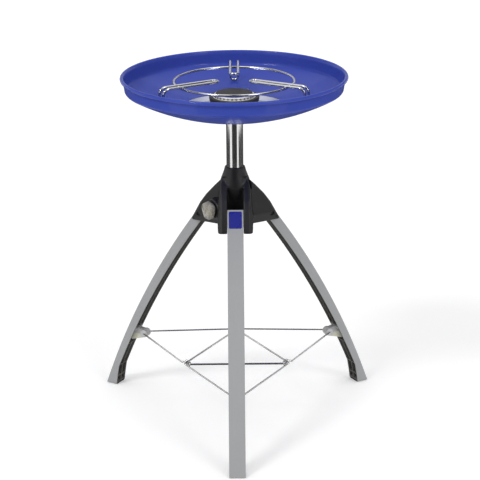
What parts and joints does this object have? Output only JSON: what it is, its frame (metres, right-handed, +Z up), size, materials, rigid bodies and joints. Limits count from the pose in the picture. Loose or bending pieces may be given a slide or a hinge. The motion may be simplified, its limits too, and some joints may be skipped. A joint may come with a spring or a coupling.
{
  "type": "propane burner stand",
  "caption": "Propane burner stand: folding tripod with a wire brace, sliding post with a clamp, round dish holding a gas burner, and a loose wire pot stand.",
  "frame": {"origin": "on the ground, on the tripod's and the post's axis", "axes": "+Z up along the post, the front leg points towards -Y, +X to the right of someone facing +Y"},
  "size_m": [0.5692, 0.5444, 0.7212],
  "materials": {
    "hub_black": "satin moulding",
    "steel": "satin, bare",
    "chrome": "bright plated",
    "brass": "machined",
    "knob_marbled": "grey and beige, marbled",
    "blue_enamel": "gloss enamel",
    "iron": "matt black",
    "black_plastic": "satin",
    "red_plastic": "gloss",
    "ceramic": "white glazed",
    "rubber": "matt",
    "leg_grey": "fine textured moulding",
    "badge_blue": "gloss, blank",
    "bracket_white": "satin moulding"
  },
  "bodies": {
    "hub": {"hub_shell": "hub_black", "pivot_pins": "steel", "clamp_insert": "brass"},
    "clamp_pad": {"clamp_pad": "hub_black"},
    "clamp_knob": {"clamp_knob": "knob_marbled", "clamp_screw": "steel"},
    "post": {"post_tube": "chrome", "post_bush": "hub_black", "post_plug": "hub_black"},
    "dish": {"dish_pan": "blue_enamel", "spigot": "steel", "burner_screws": "steel", "reflector": "steel", "burner_body": "iron", "burner_ring": "chrome", "burner_cap": "iron", "mixing_tube": "steel", "gas_jet": "brass", "valve_body": "brass", "valve_bracket": "steel", "hose_nozzle": "brass", "igniter_body": "black_plastic", "electrode": "ceramic", "electrode_tip": "steel", "ignition_lead": "rubber"},
    "gas_tap": {"valve_spindle": "brass", "gas_knob": "black_plastic"},
    "igniter": {"igniter_button": "red_plastic"},
    "pot_stand": {"pot_ring": "chrome", "pot_support_back": "chrome", "pot_support_left": "chrome", "pot_support_right": "chrome"},
    "leg_front": {"leg_front": "leg_grey", "badge_front": "badge_blue", "foot_pad_front": "rubber", "bracket_front": "bracket_white"},
    "leg_right": {"leg_right": "leg_grey", "badge_right": "badge_blue", "foot_pad_right": "rubber", "bracket_right": "bracket_white"},
    "leg_left": {"leg_left": "leg_grey", "badge_left": "badge_blue", "foot_pad_left": "rubber", "bracket_left": "bracket_white"},
    "brace_centre": {"brace_centre": "chrome"},
    "brace_arm_front": {"brace_arm_front": "chrome"},
    "brace_arm_right": {"brace_arm_right": "chrome"},
    "brace_arm_left": {"brace_arm_left": "chrome"}
  },
  "joints": [
    {"name": "post_height", "type": "slide", "parent": "hub", "child": "post", "axis": [0, 0, 1], "range_m": [-0.07, 0.01]},
    {"name": "dish_lift", "type": "slide", "parent": "post", "child": "dish", "axis": [0, 0, 1], "range_m": [0, 0.08]},
    {"name": "pot_stand_lift", "type": "slide", "parent": "dish", "child": "pot_stand", "axis": [0, 0, 1], "range_m": [0, 0.06]},
    {"name": "gas_tap_turn", "type": "hinge", "parent": "dish", "child": "gas_tap", "pos_m": [0, 0.16, 0.619], "axis": [0, 1, 0], "range_deg": [-210, 0]},
    {"name": "igniter_press", "type": "slide", "parent": "dish", "child": "igniter", "axis": [0, -1, 0], "range_m": [0, 0.005], "stiffness_N_per_m": 300},
    {"name": "clamp_travel", "type": "slide", "parent": "hub", "child": "clamp_pad", "axis": [-0.866, -0.5, 0], "range_m": [0, 0.0025]},
    {"name": "clamp_turn", "type": "hinge", "parent": "clamp_pad", "child": "clamp_knob", "pos_m": [-0.05196, -0.03, 0.4506], "axis": [-0.866, -0.5, 0], "range_deg": [0, 720]},
    {"name": "leg_fold_front", "type": "hinge", "parent": "hub", "child": "leg_front", "pos_m": [0, -0.0664, 0.433], "axis": [1, 0, 0], "range_deg": [0, 22]},
    {"name": "leg_fold_right", "type": "hinge", "parent": "hub", "child": "leg_right", "pos_m": [0.0575, 0.0332, 0.433], "axis": [-0.5, 0.866, 0], "range_deg": [0, 22]},
    {"name": "leg_fold_left", "type": "hinge", "parent": "hub", "child": "leg_left", "pos_m": [-0.0575, 0.0332, 0.433], "axis": [-0.5, -0.866, 0], "range_deg": [0, 22]},
    {"name": "brace_rise", "type": "slide", "parent": "hub", "child": "brace_centre", "axis": [0, 0, 1], "range_m": [0, 0.1213]},
    {"name": "brace_fold_front", "type": "hinge", "parent": "brace_centre", "child": "brace_arm_front", "pos_m": [0, -0.0625, 0.13], "axis": [1, 0, 0], "range_deg": [0, 76.51]},
    {"name": "brace_fold_right", "type": "hinge", "parent": "brace_centre", "child": "brace_arm_right", "pos_m": [0.05413, 0.03125, 0.13], "axis": [-0.5, 0.866, 0], "range_deg": [0, 76.51]},
    {"name": "brace_fold_left", "type": "hinge", "parent": "brace_centre", "child": "brace_arm_left", "pos_m": [-0.05413, 0.03125, 0.13], "axis": [-0.5, -0.866, 0], "range_deg": [0, 76.51]}
  ],
  "couplings": [
    {"joint": "leg_fold_right", "follows": "leg_fold_front", "ratio": 1},
    {"joint": "leg_fold_left", "follows": "leg_fold_front", "ratio": 1},
    {"joint": "brace_rise", "follows": "leg_fold_front", "m_per_rad": 0.31552},
    {"joint": "brace_fold_front", "follows": "leg_fold_front", "ratio": 3.4755},
    {"joint": "brace_fold_right", "follows": "leg_fold_front", "ratio": 3.4755},
    {"joint": "brace_fold_left", "follows": "leg_fold_front", "ratio": 3.4755},
    {"joint": "clamp_turn", "follows": "clamp_travel", "rad_per_m": 5026.5}
  ]
}
